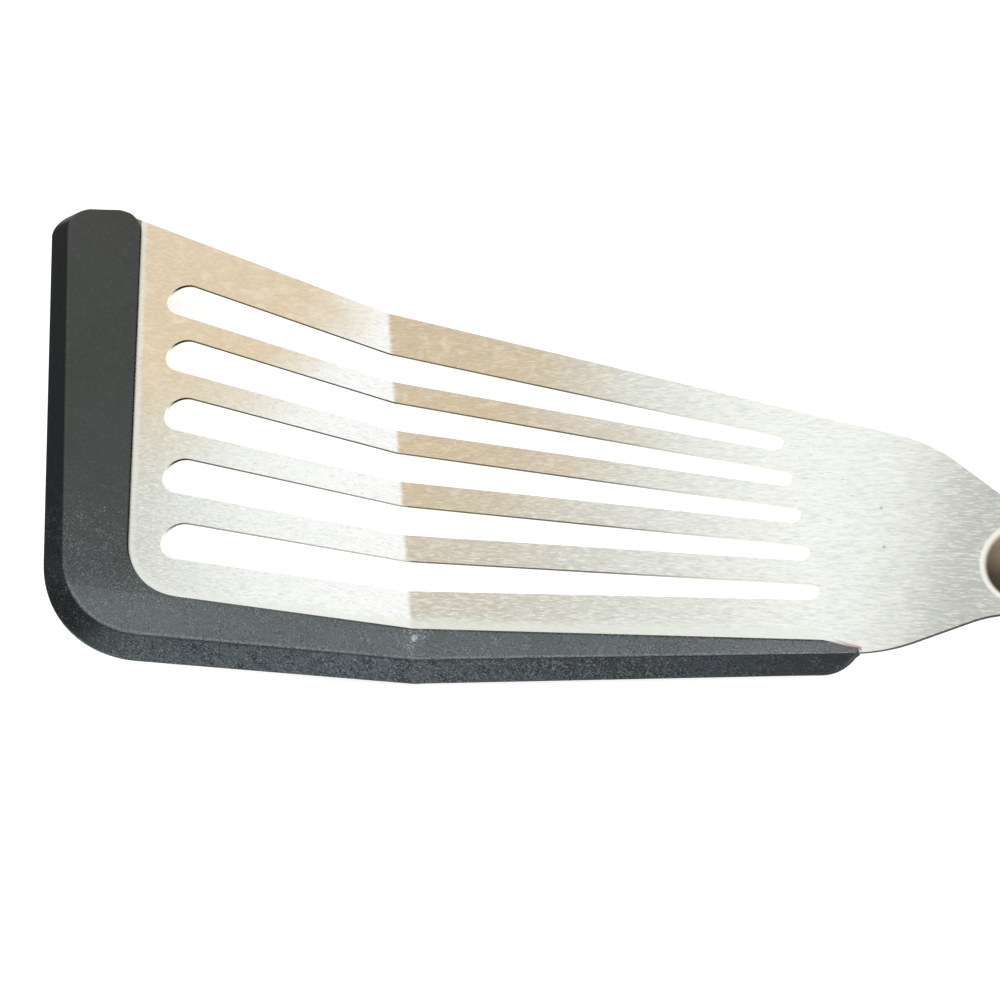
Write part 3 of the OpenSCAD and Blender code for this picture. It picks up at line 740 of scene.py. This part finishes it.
def silicone_material():
    m = Material("silicone", ior=1.42)
    s, t, z = m.unfolded()
    grain = m.noise((4.5, 4.5, 4.5), 3, 0.65)
    cloud = m.noise((0.12, 0.12, 0.12), 3, 0.6)
    worn = m.noise((0.35, 0.7, 0.7), 4, 0.7, 0.4, turn=0.5)
    dust = m.noise((3.2, 5.5, 5.5), 4, 0.7, 0.8, turn=0.2)
    scuff = m.noise((1.2, 2.8, 2.8), 5, 0.72, 1, turn=0.3)
    speck = m.noise((3.4, 3.4, 3.4), 2, 0.6)
    from_line = above_bare_line(m, s, t)

    # Flat face, lighter and bluer along the near side
    side = m.span(from_line, 4, -3)
    colour = m.ramp(t, ((-30, 84, 90, 90), (0, 73, 79, 75), (30, 64, 67, 60), (68, 64, 65, 58)))
    colour = m.mix(side, colour, m.ramp(s, ((-46, 99, 105, 106), (36, 99, 105, 107), (62, 116, 120, 122))))
    colour = m.mix(m.span(cloud, 0.35, 0.65, 0, 0.3), colour, (76, 79, 76))

    # Bevel with painted shade: dark along the front, and along the near side lighter towards the front and
    # darker behind the crease
    up = m.most(m.times(m.facing(PANEL_UP), m.span(s, 0.55, 0.5)),
                m.times(m.facing(REAR_UP), m.span(s, -0.55, -0.5)))
    outward = m.facing(-CREASE_WAY)
    to_steel = m.facing(unit(HEAD_WAY + CREASE_WAY))
    lip = m.times(m.span(to_steel, 0.2, 0.45), m.span(up, 0.85, 0.5))
    bevel = m.times(m.span(up, 0.985, 0.92), m.span(to_steel, 0.15, 0), m.span(up, -0.6, -0.2))
    front_bevel_shade = m.ramp(t, ((-24, 34, 38, 39), (0, 13, 15, 14), (60, 15, 16, 14)))
    near_bevel_shading = m.ramp(s, ((-46, 82, 92, 93), (-10, 86, 94, 97), (8, 80, 86, 88), (30, 50, 56, 56),
                            (43, 62, 68, 70), (60, 43, 48, 48)))
    patch = m.times(m.span(worn, 0.44, 0.6, 0, 0.75), m.span(s, -46, -36))
    near_bevel_shading = m.mix(patch, near_bevel_shading, (46, 50, 57))
    colour = m.mix(bevel, colour, m.mix(m.span(outward, 0.26, 0.5), front_bevel_shade, near_bevel_shading))
    # Painted shade on the lower part of the lip's wall by the steel, and a painted dark line along the
    # silicone's edge on the near side; the same mix also tints the whole front strip a third of the way to
    # this grey
    rim = m.times(m.span(from_line, -0.45, -0.2), m.span(s, -34, 2, 0.35, 0.85))
    colour = m.lay(colour, (m.times(lip, m.span(z, 0.42, 0.25)), (28, 25, 21)), (rim, (42, 44, 46)))

    # Wear, and a painted highlight: a fine dusty grain, a faint lighter ridge that is partly wear and partly
    # painted highlight, whitish scuffs and a few specks
    near = m.span(from_line, 26, 2)
    busy = m.times(m.span(outward, 0.3, 0.5, 0.5, 1.35), m.span(s, 50, 26, 0.4, 1))
    dusty = m.times(m.span(dust, 0.36, 0.64, -1, 1), m.span(near, 0, 1, 0.3, 1),
                    m.span(worn, 0.35, 0.65, 0.5, 1.25), m.span(bevel, 0, 1, 1, busy),
                    m.span(lip, 0, 1, 1, 0))
    ridge = m.times(m.span(up, 0.997, 0.986), m.span(up, 0.945, 0.97), m.span(dust, 0.42, 0.58, 0.05, 0.7),
                    m.span(side, 0, 1, 0.04, 1))
    marks = m.times(m.span(dust, 0.6, 0.7), m.span(worn, 0.5, 0.68), m.span(side, 0, 1, 0.1, 0.8),
                    m.span(s, 46, 22, 0.15, 1))
    rubbed = m.times(bevel, m.span(outward, 0.3, 0.5), m.span(s, 46, 20, 0.1, 1))
    from_nick = m.distance(s, t, (0.7, -28.3))
    nick = m.most(m.times(m.span(from_nick, 0.8, 0.2), m.span(dust, 0.42, 0.52)),
                  m.times(m.span(from_nick, 3.6, 0.8, 0, 0.7), m.span(dust, 0.55, 0.62)))
    dots = m.most(m.times(m.span(speck, 0.76, 0.8), m.span(near, 0, 1, 0.3, 1)), nick)
    colour = m.lay(colour, (m.span(dusty, 0, 1.25, 0, 0.5), (152, 160, 162)),
                   (m.span(dusty, 0, -1.25, 0, 0.6), (36, 38, 42)),
                   (ridge, (140, 148, 150)), (marks, (158, 165, 168)),
                   (m.times(rubbed, m.span(scuff, 0.49, 0.38, 0, 0.6)), (38, 42, 48)),
                   (m.times(rubbed, m.span(scuff, 0.59, 0.67, 0, 0.75)), (150, 158, 160)),
                   (dots, (205, 210, 211)))

    shine = m.span(bevel, 0, 1, 0.3, m.span(outward, 0.26, 0.5, 0.06, 0.14))
    m.plug(shine, m.shader.inputs["Specular IOR Level"])
    return m.finish(colour, m.span(grain, 0.3, 0.7, 0.5, 0.64), grain, 0.3, 0.00005)


def plastic_material():
    m = Material("handle_plastic", ior=1.48)
    grain = m.noise((5, 5, 5), 3, 0.6)
    cloud = m.noise((0.06, 0.1, 0.1), 3, 0.5)
    rub = m.noise((0.5, 3, 3), 4, 0.6, 0.4)
    colour = m.mix(m.span(cloud, 0.3, 0.7), (36, 37, 38), (44, 45, 46))
    colour = m.mix(m.span(rub, 0.6, 0.75, 0, 0.35), colour, (66, 67, 68))
    rough = m.plus(m.span(grain, 0.3, 0.7, 0.38, 0.52), m.span(cloud, 0.3, 0.7, -0.05, 0.03))
    return m.finish(colour, rough, grain, 0.3, 0.00005)


def rivet_material():
    m = Material("rivet_steel", metallic=1.0)
    fine = m.noise((0.8, 9, 9), 3, 0.6, turn=0.02)
    cloud = m.noise((0.3, 0.3, 0.3), 3, 0.5)
    colour = m.mix(m.span(fine, 0.3, 0.7), (172, 174, 172), (214, 216, 212))
    rough = m.plus(m.span(fine, 0.3, 0.7, 0.2, 0.32), m.span(cloud, 0.3, 0.7, 0, 0.06))
    return m.finish(colour, rough, fine, 0.25, 0.00003)


# Blade

def handle_half():
    """Corners (u, v, radius) of the far half of the tang and of a scale."""
    return [(HANDLE_X + HANDLE_L * share, w / 2, r) for share, w, r in zip(HANDLE_SHARE, HANDLE_W, HANDLE_R)]


def blade_outline():
    far, near = side_line(1, HEAD_W / 2), side_line(-1, HEAD_W / 2)
    anchor_s = FRONT_S - ANCHOR_FRONT
    end_s = SIDE_L - TIP_RIDGE_BACK
    held = line_through(on_line(BARE_LINE, FRONT_S) - (0, ANCHOR_SIDE), on_line(near, end_s))
    neck_y = HEAD_W / 2 - NECK_X * math.tan(SIDE_ANGLE)
    shank_x = NECK_X + (neck_y - SHANK_W / 2) / math.tan(NECK_ANGLE)
    half = [(NECK_X, neck_y, SHOULDER_R), (shank_x, SHANK_W / 2, THROAT_R),
            (HANDLE_X - RAMP_L, SHANK_W / 2, RAMP_R)] + handle_half()
    whole = half + [(x, -y, r) for x, y, r in reversed(half)]
    top = FAR_L - ANCHOR_COVER
    corners = [(*on_line(far, FRONT_S - ANCHOR_LAP), 0)]
    corners += [(*turned((x, y), -SKEW), r) for x, y, r in whole]
    corners += [(*on_line(near, end_s), 0), (*on_line(held, anchor_s), INNER_CORNER_R), (anchor_s, top, 0),
                (anchor_s + ANCHOR_SLOPE, top + ANCHOR_SLOPE, 0)]
    return outline(corners)[::-1]


def slot_outline(i):
    place = i - (SLOT_N - 1) / 2
    front_s = FRONT_S + SLOT_INSET
    rear_s = front_s + SLOT_L
    slope = -math.tan(SKEW)
    front = np.array([front_s, slope * front_s + SLOT_FRONT_SHIFT - place * SLOT_FRONT_PITCH])
    rear = np.array([rear_s, slope * rear_s + SLOT_REAR_SHIFT - place * SLOT_REAR_PITCH])
    heading = math.atan2(*(rear - front)[::-1])
    quarter = math.pi / 2 - math.asin((SLOT_FRONT_R - SLOT_REAR_R) / norm(rear - front))
    front_arc = arc(front, SLOT_FRONT_R, heading + quarter, 2 * math.pi - 2 * quarter, 24)
    rear_arc = arc(rear, SLOT_REAR_R, heading - quarter, 2 * quarter, 16)
    loop = []
    for a, b in ((front_arc, rear_arc), (rear_arc, front_arc)):
        loop += a + between(a[-1], b[0], int(norm(b[0] - a[-1]) / 3) + 1)
    return thinned(loop)[::-1]


def round_hole(centre, r, steps=64):
    """A hole's loop, clockwise, so that the plate lies to its left."""
    return thinned(arc(np.array(centre, float), r, 0, -2 * math.pi, steps))


def bead_ring(d):
    """The loop that lies d from the bead's middle line."""
    n = 40
    a, b = np.array([BEAD_X, 0]), np.array([BEAD_X + BEAD_L, 0])
    loop = arc(a, d, math.pi / 2, math.pi, n) + arc(b, d, -math.pi / 2, math.pi, n)
    whole = []
    for p, q in zip(loop, loop[1:] + loop[:1]):
        whole += [p] + between(p, q, int(norm(q - p) / 1.5) + 1)
    return np.array([turned(p, -SKEW) for p in thinned(whole)])


def build_blade(material):
    loops = [blade_outline()] + [slot_outline(i) for i in range(SLOT_N)]
    holes = [(x, RIVET_HOLE_R) for x in RIVET_X] + [(EYELET_X, EYELET_HOLE_R)]
    loops += [round_hole(turned((x, 0), -SKEW), r) for x, r in holes]
    depths = [0.5, 1.2, 2.0, 2.8, 3.5, 4.1, 4.6] + [RIM_INNER + d for d in (0, 0.15, 0.3, 0.45, 0.6)]
    depths += [RIM_OUTER, RIM_OUTER + 0.2]
    shape = slab(loops, edge_profile(SHEET_EDGE_R, SHEET), [bead_ring(d) for d in depths])
    return mesh_object("steel_blade", shape, place_flat, material, FOLD_CUTS)


# Silicone

def matched_path(corners):
    """Rounded corners (point, radius, steps, run) joined by straight runs cut into run pieces. Returns the
    points and the index of each corner's first one."""
    arcs = corner_arcs([corner[:3] for corner in corners])
    points, firsts = [], []
    for found, following, (*_, run) in zip(arcs, arcs[1:] + arcs[:1], corners):
        firsts.append(len(points))
        points += found + between(found[-1], following[0], run)
    return np.array(points), firsts


def resampled(points, steps):
    """steps + 1 points at equal distances along a polyline."""
    lengths = np.concatenate([[0], np.cumsum(norm(np.diff(points, axis=0), axis=1))])
    at = np.linspace(0, lengths[-1], steps + 1)
    return np.column_stack([np.interp(at, lengths, points[:, k]) for k in (0, 1)])


def bezier(a, b, c, k):
    return (1 - k) ** 2 * a + 2 * k * (1 - k) * b + k ** 2 * c


def smooth_loop(values, rounds):
    for _ in range(rounds):
        values = (np.roll(values, 1) + 2 * values + np.roll(values, -1)) / 4
    return values


def step_up(x, low, high):
    k = np.clip((x - low) / (high - low), 0, 1)
    return k * k * (3 - 2 * k)


def silicone_paths():
    """The outline of the flat face, up to the ridge, and that of the foot, point for point alike, and the
    index of the first point of each corner: far inner, far outer, near front, tip's turn, tip, tip's inner
    and near inner."""
    side_run = 60
    inner_corner = on_line(BARE_LINE, FRONT_S)
    ridge_far = np.array([FRONT_S - BAND_FAR, FAR_L])
    end_corner = np.array([FRONT_S, FAR_L - FAR_DROP])
    end_line = line_through(ridge_far, end_corner)
    ridge_bend = np.array([FRONT_S - BAND_CORNER, inner_corner[1]])
    ridge_side = line_through(inner_corner - (0, BAND_SIDE), on_line(BARE_LINE, SIDE_L) - (0, BAND_TIP))
    foot_far, foot_bend = on_line(end_line, ridge_far[0] - BEVEL_FRONT), ridge_bend - (BEVEL_FRONT, 0)
    foot_side = line_through(on_line(ridge_side, FRONT_S) - (0, BEVEL_CORNER),
                             on_line(ridge_side, SIDE_L) - (0, BEVEL_TIP))

    def near_front(far, bend, side):
        return meet(far, bend - far, on_line(side, 0), np.array([1, side[1]]))

    ridge_corner = near_front(ridge_far, ridge_bend, ridge_side)
    foot_corner = near_front(foot_far, foot_bend, foot_side)
    tip_foot = on_line(foot_side, SIDE_L - TIP_FOOT_BACK)
    tip_ridge = on_line(ridge_side, SIDE_L - TIP_RIDGE_BACK)
    tip_inner = on_line(BARE_LINE, SIDE_L - TIP_INNER_BACK)

    # The end dives along one line, up to which the foot turns in an arc and the ridge runs straight
    dive = np.array([math.cos(TIP_DIVE), -math.sin(TIP_DIVE)])
    sweep = np.array([math.cos(TIP_SWEEP), math.sin(TIP_SWEEP)])
    ridge_sweep = on_line(end_line, tip_ridge[0] + SIDE_L * math.cos(TIP_SWEEP)) - tip_ridge
    ridge_tip = meet(tip_ridge, ridge_sweep, tip_inner, dive)
    across = np.array([-dive[1], dive[0]])
    foot_turn = rounded_corner(foot_corner, tip_foot, tip_foot + sweep, TIP_OUTER_R, 60)
    foot_turn = np.array([q for q in foot_turn if (q - tip_inner) @ across < 0])
    foot_tip = meet(foot_turn[-1], foot_turn[-1] - foot_turn[-2], tip_inner, dive)

    def path(far, far_r, corner, corner_r, turn, tip):
        return matched_path([(end_corner, FAR_INNER_R, 20, 3), (far, far_r, 16, 40),
                             (corner, corner_r, 30, side_run), (turn, TIP_TURN_R, 10, 4), (tip, 0, 0, 4),
                             (tip_inner, TIP_INNER_R, 8, 60), (inner_corner, INNER_CORNER_R, 24, 50)])

    ridge, firsts = path(ridge_far, FAR_RIDGE_R, ridge_corner, RIDGE_CORNER_R, tip_ridge, ridge_tip)
    foot, _ = path(foot_far, FAR_FOOT_R, foot_corner, FOOT_CORNER_R, tip_foot, foot_tip)
    turn_first, tip_at = firsts[3:5]
    foot[turn_first:tip_at + 1] = resampled(np.vstack([foot_turn, [foot_tip]]), tip_at - turn_first)
    start, end = foot[turn_first - side_run], foot_turn[0]
    foot[turn_first - side_run:turn_first] = start + (end - start) * (np.arange(side_run) / side_run)[:, None]
    return ridge, foot, firsts


def build_silicone(material):
    top, foot, firsts = silicone_paths()
    n = len(top)
    index = np.arange(n)
    outer_first, tip_at = firsts[1] + 1, firsts[4]
    lip_end, end_middle, end_round, far_round = 5, 8, 12, 60
    outer = step_up(index, outer_first - 2, outer_first + 14) * (index <= tip_at)
    inner = ((index > tip_at) | (index < lip_end)).astype(float)
    is_outer = (index > end_middle) & (index <= tip_at)

    def width_of(loop):
        """Distance from each point of a loop to its other side."""
        inner_side, outer_side = np.vstack([loop[tip_at:], loop[:lip_end - 1]]), loop[outer_first:tip_at + 1]
        return np.where(is_outer, distance_to(loop, inner_side), distance_to(loop, outer_side))

    # Radii of the ridge and of the foot's edge, held back where the moulding is narrow
    width, foot_width = width_of(top), width_of(foot)
    soft = smooth_loop(inner * LIP_EDGE_R + (1 - inner) * (outer * RIDGE_R + (1 - outer) * END_R), 4)
    soft = np.minimum(soft, 0.25 * width)
    soft = np.where((index > end_round) & (index < far_round), np.maximum(soft, RIDGE_R), soft)[:, None]
    edge = np.minimum(FOOT_EDGE_R, 0.2 * np.minimum(width, foot_width))[:, None]
    gap = (smooth_loop(inner, 3) * np.minimum(GAP_DEPTH, 0.25 * width))[:, None]

    # Rings from the flat face over the ridge, down the bevel or the lip's groove, and round the foot's edge
    top_in, foot_in = inward_unit(top), inward_unit(foot)
    wall_z, foot_z = -SHEET - LIP + FOOT_WALL, -SHEET - LIP
    corner_0, corner_1, corner_2 = raised(top, LIP), raised(foot, wall_z), raised(foot, foot_z)
    down = corner_1 - corner_0
    length = norm(down, axis=1)[:, None]
    down /= length
    start = raised(top + top_in * soft, LIP)
    leave = corner_0 + down * np.minimum(soft, 0.4 * length)
    rings = [start] + [bezier(start, corner_0, leave, k) for k in (0.25, 0.5, 0.75)] + [leave]
    arrive = corner_1 - down * edge
    fall = corner_1 - (0, 0, 1) * edge
    bevel = [leave + (arrive - leave) * 0.4, arrive, bezier(arrive, corner_1, fall, 0.5), fall]
    groove = [raised(top, GAP_MOUTH), raised(top + top_in * gap, GAP_FLOOR),
              raised(top + top_in * gap, -SHEET - GAP_FLOOR), raised(top, -SHEET - GAP_MOUTH)]
    rings += [np.where(gap > 0, a, b) for a, b in zip(groove, bevel)]
    rise = corner_2 + (0, 0, 1) * edge
    floor_in = raised(foot + foot_in * edge, foot_z)
    rings += [rise] + [bezier(rise, corner_2, floor_in, k) for k in (0.33, 0.67)] + [floor_in]

    shape = ([], [])
    starts = add_rings(shape, rings)
    for side in (0, -1):
        fill(shape, [(starts[side], rings[side][:, :2])], rings[side][0, 2])
    return mesh_object("silicone_moulding", shape, place_flat, material, FOLD_CUTS)


# Handle

CROWN_MID = HANDLE_X + HANDLE_L / 2
CROWN_LONG_R = ((HANDLE_L / 2) ** 2 + CROWN_DROP ** 2) / (2 * CROWN_DROP)


def soft_least(a, b, blend):
    k = np.clip(0.5 + 0.5 * (b - a) / blend, 0, 1)
    return b * (1 - k) + a * k - blend * k * (1 - k)


def crown(x, y):
    """Height of a scale above the tang."""
    long_way = SCALE_T - CROWN_LONG_R + np.sqrt(CROWN_LONG_R ** 2 - (x - CROWN_MID) ** 2)
    across = SCALE_T - CROWN_R + np.sqrt(CROWN_R ** 2 - np.minimum(np.abs(y), CROWN_R) ** 2)
    slope = (x - HANDLE_X) / math.tan(SCALE_FRONT_ANGLE)
    return soft_least(soft_least(long_way, across, CROWN_BLEND), slope, SCALE_BLEND)


def crowned(rise):
    """A height for lathe() that lies rise above the crown of a scale."""
    return lambda x, y: float(crown(x, y)) + rise


def build_scale(name, place, material):
    front_y = HANDLE_W[0] / 2
    half = [(HANDLE_X, front_y, 0)] + handle_half()[1:]
    loop = outline(half + [(x, -y, r) for x, y, r in reversed(half)], 1.0)[::-1]

    # The long sides and the butt, along which the top's edge is rounded
    def corner_of(points, y):
        return int(np.argmin(norm(points - (HANDLE_X, y), axis=1)))

    ordered = np.roll(loop, -corner_of(loop, -front_y), axis=0)
    sides = ordered[:corner_of(ordered, front_y) + 1]

    def top_z(points):
        d = np.clip(distance_to(points, sides), 0, SCALE_EDGE_R)
        drop = SCALE_EDGE_R - np.sqrt(SCALE_EDGE_R ** 2 - (SCALE_EDGE_R - d) ** 2)
        return np.maximum(crown(points[:, 0], points[:, 1]) - drop, SCALE_LEAST)

    shape = ([], [])
    normals = inward(loop)
    rings = [raised(loop, 0)]
    for inset in (SCALE_EDGE_R * (1 - math.cos(a)) for a in quarter_turn(6)):
        moved = loop + normals * inset
        moved[:, 0] = np.maximum(moved[:, 0], HANDLE_X + inset * 0.2)
        rings.append(raised(moved, top_z(moved)))
    starts = add_rings(shape, rings)
    rim = rings[-1][:, :2]
    grid = np.array([(x, y) for x in np.arange(HANDLE_X + 0.4, HANDLE_X + HANDLE_L, 1.3)
                     for y in np.arange(-12.5, 12.6, 1.25)])
    keep = inside(grid, rim) & (distance_to(grid, np.vstack([rim, rim[:1]])) > 0.5)

    # Counterbored holes, with a softened edge at the top
    holes = [(x, RIVET_HEAD_R + RIVET_GAP, RIVET_SEAT, RIVET_HOLE_R) for x in RIVET_X]
    holes.append((EYELET_X, EYELET_FLANGE_R + EYELET_GAP, EYELET_SEAT, EYELET_HOLE_R))
    upper, lower = [(starts[-1], rim)], [(starts[0], loop)]
    for x, r, seat, stem in holes:
        centre, mouth_r = np.array([x, 0]), r + HOLE_FLARE
        mouth = round_hole(centre, mouth_r)
        rings = []
        for radius, z, shift in ((mouth_r, None, 0), (r + 0.03, None, -0.04), (r, None, -0.12),
                                 (r, seat, 0), (stem, seat, 0), (stem, 0, 0)):
            ring = centre + (mouth - centre) * radius / mouth_r
            rings.append(raised(ring, top_z(ring) + shift if z is None else z))
        starts = add_rings(shape, rings)
        upper.append((starts[0], mouth))
        lower.append((starts[-1], rings[-1][:, :2]))
        keep &= norm(grid - centre, axis=1) > mouth_r + 0.4
    fill(shape, upper, top_z, (), grid[keep])
    fill(shape, lower, 0)
    return mesh_object(name, shape, place, material)


def build_rivets(material):
    """A pin through the upper scale into a socket through the lower one, both ground flush."""
    head = [(RIVET_HEAD_R * k, crowned(0)) for k in (0.002, 0.2, 0.4, 0.6, 0.8, 0.92)]
    head += [(RIVET_HEAD_R - 0.1, crowned(-0.02)), (RIVET_HEAD_R, crowned(-0.12)), (RIVET_HEAD_R, RIVET_SEAT)]
    reach = -SHEET - RIVET_SEAT
    bore = RIVET_PIN_R + RIVET_GAP
    stems = {"pin": [(RIVET_PIN_R, RIVET_SEAT), (RIVET_PIN_R, reach), (AXIS_R, reach)],
             "socket": [(RIVET_STEM_R, RIVET_SEAT), (RIVET_STEM_R, reach), (bore, reach), (bore, RIVET_SEAT),
                        (AXIS_R, RIVET_SEAT)]}
    made = {}
    for which, x in zip(("front", "middle", "rear"), RIVET_X):
        for kind, place in (("pin", place_handle), ("socket", below)):
            name = f"rivet_{kind}_{which}"
            made[name] = mesh_object("ground_" + name, lathe(head + stems[kind], x, 64), place, material)
    return made


def build_eyelet(material):
    """A flared tube with rolled flanges, about the middle of the tang."""
    half = EYELET_SEAT + EYELET_WALL + SHEET / 2
    bore, tube, flange, roll = EYELET_BORE_R, EYELET_BORE_R + EYELET_WALL, EYELET_FLANGE_R, EYELET_ROLL_R
    seat = half - EYELET_WALL
    upper = [(tube, seat), (flange - 0.1, seat), (flange, seat + 0.1), (flange, half - 0.3),
             (flange - 0.08, half - 0.12), (flange - 0.3, half)]
    upper += [(bore + roll - roll * math.sin(a), half - roll + roll * math.cos(a)) for a in quarter_turn(6)]
    shape = lathe(upper + [(r, -z) for r, z in reversed(upper)], EYELET_X, 72, closed=True)
    return mesh_object("rolled_eyelet", shape, lambda p: place_handle(p - (0, 0, SHEET / 2)), material)


steel = steel_material()
silicone = silicone_material()
plastic = plastic_material()
rivet_steel = rivet_material()

pieces = {"blade": (build_blade(steel), "blade_steel"),
          "silicone_edge": (build_silicone(silicone), "silicone"),
          "handle_scale_upper": (build_scale("crowned_scale_upper", place_handle, plastic), "handle_plastic"),
          "handle_scale_lower": (build_scale("crowned_scale_lower", below, plastic), "handle_plastic"),
          "hanging_eyelet": (build_eyelet(rivet_steel), "rivet_steel")}
for node_name, piece in build_rivets(rivet_steel).items():
    pieces[node_name] = (piece, "rivet_steel")
for node_name, (piece, slot) in pieces.items():
    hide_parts(node_name)
    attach(piece, "root")


# Floor, light and camera

# The camera was fitted in the head frame with t shifted by FIT_SHIFT
FIT_SHIFT = 2.833
CAMERA_AT = (79.88579379, -113.05001716, 167.58828579)
CAMERA_RIGHT = (0.9075944519896917, -0.09873449137562713, -0.4080732911259048)
CAMERA_DOWN = (-0.2873824186275848, -0.8546707612460984, -0.43237626592445416)
CAMERA_AHEAD = (-0.30607785967183393, 0.5096953895061352, -0.8040689981182576)
FOCAL_PX = 1400
FRAME_PX = 1000
AMBIENT = 0.72
FLOOR_SEEN = 0.6
FLOOR_HALF = 3.0
FLOOR_Z = -0.0002


def to_row(s, t, z):
    """A point of the camera's fit to the row's frame."""
    return place_handle(np.array([[*turned((s, t - FIT_SHIFT), SKEW), z]]))[0]


def add_camera():
    data = bpy.data.cameras.new("camera")
    data.sensor_fit = "HORIZONTAL"
    data.sensor_width = 36
    data.lens = FOCAL_PX / FRAME_PX * data.sensor_width
    data.clip_start = 0.01
    data.clip_end = 20
    camera = add_object("camera", data)
    origin = to_row(0, FIT_SHIFT, 0)
    right, down, ahead = ((to_row(s, t + FIT_SHIFT, z) - origin) / MM
                          for s, t, z in (CAMERA_RIGHT, CAMERA_DOWN, CAMERA_AHEAD))
    rows = [[right[i], -down[i], -ahead[i], to_row(*CAMERA_AT)[i]] for i in range(3)]
    camera.matrix_world = Matrix(rows + [[0, 0, 0, 1]])
    bpy.context.scene.camera = camera


def add_lamp(name, at, aim, size, power):
    """A disk lamp that leaves no highlight of its own, so that the steel mirrors only the white around it."""
    data = bpy.data.lights.new(name, "AREA")
    data.shape = "DISK"
    data.size = size
    data.energy = power
    lamp = add_object(name, data)
    lamp.location = at
    lamp.visible_glossy = False
    lamp.rotation_euler = (Vector(aim) - Vector(at)).to_track_quat("-Z", "Y").to_euler()


def add_world():
    world = bpy.data.worlds.new("studio")
    bpy.context.scene.world = world
    background = Nodes(world, "Background")
    background.shader.inputs["Color"].default_value = (1, 1, 1, 1)
    background.white_where_seen("Strength", AMBIENT)


def add_floor():
    mesh = bpy.data.meshes.new("floor")
    corners = [(x * FLOOR_HALF, y * FLOOR_HALF, 0) for x, y in ((-1, -1), (1, -1), (1, 1), (-1, 1))]
    mesh.from_pydata(corners, [], [(0, 1, 2, 3)])
    floor = add_object("floor", mesh)
    floor.location.z = FLOOR_Z
    m = Material("pale_floor", roughness=0.9, base_color=(0.9, 0.9, 0.9, 1), specular_ior_level=0.0,
                 emission_color=(1, 1, 1, 1))
    m.white_where_seen("Emission Strength", 0.0, FLOOR_SEEN)
    mesh.materials.append(m.material)


add_camera()
add_world()
add_floor()
add_lamp("key", (0.35, 0.45, 0.75), (-0.05, 0, 0), 0.5, 2.2)
add_lamp("fill", (0.5, -0.5, 0.6), (0, 0, 0), 0.6, 1.2)

scene = bpy.context.scene
scene.view_settings.view_transform = "Standard"
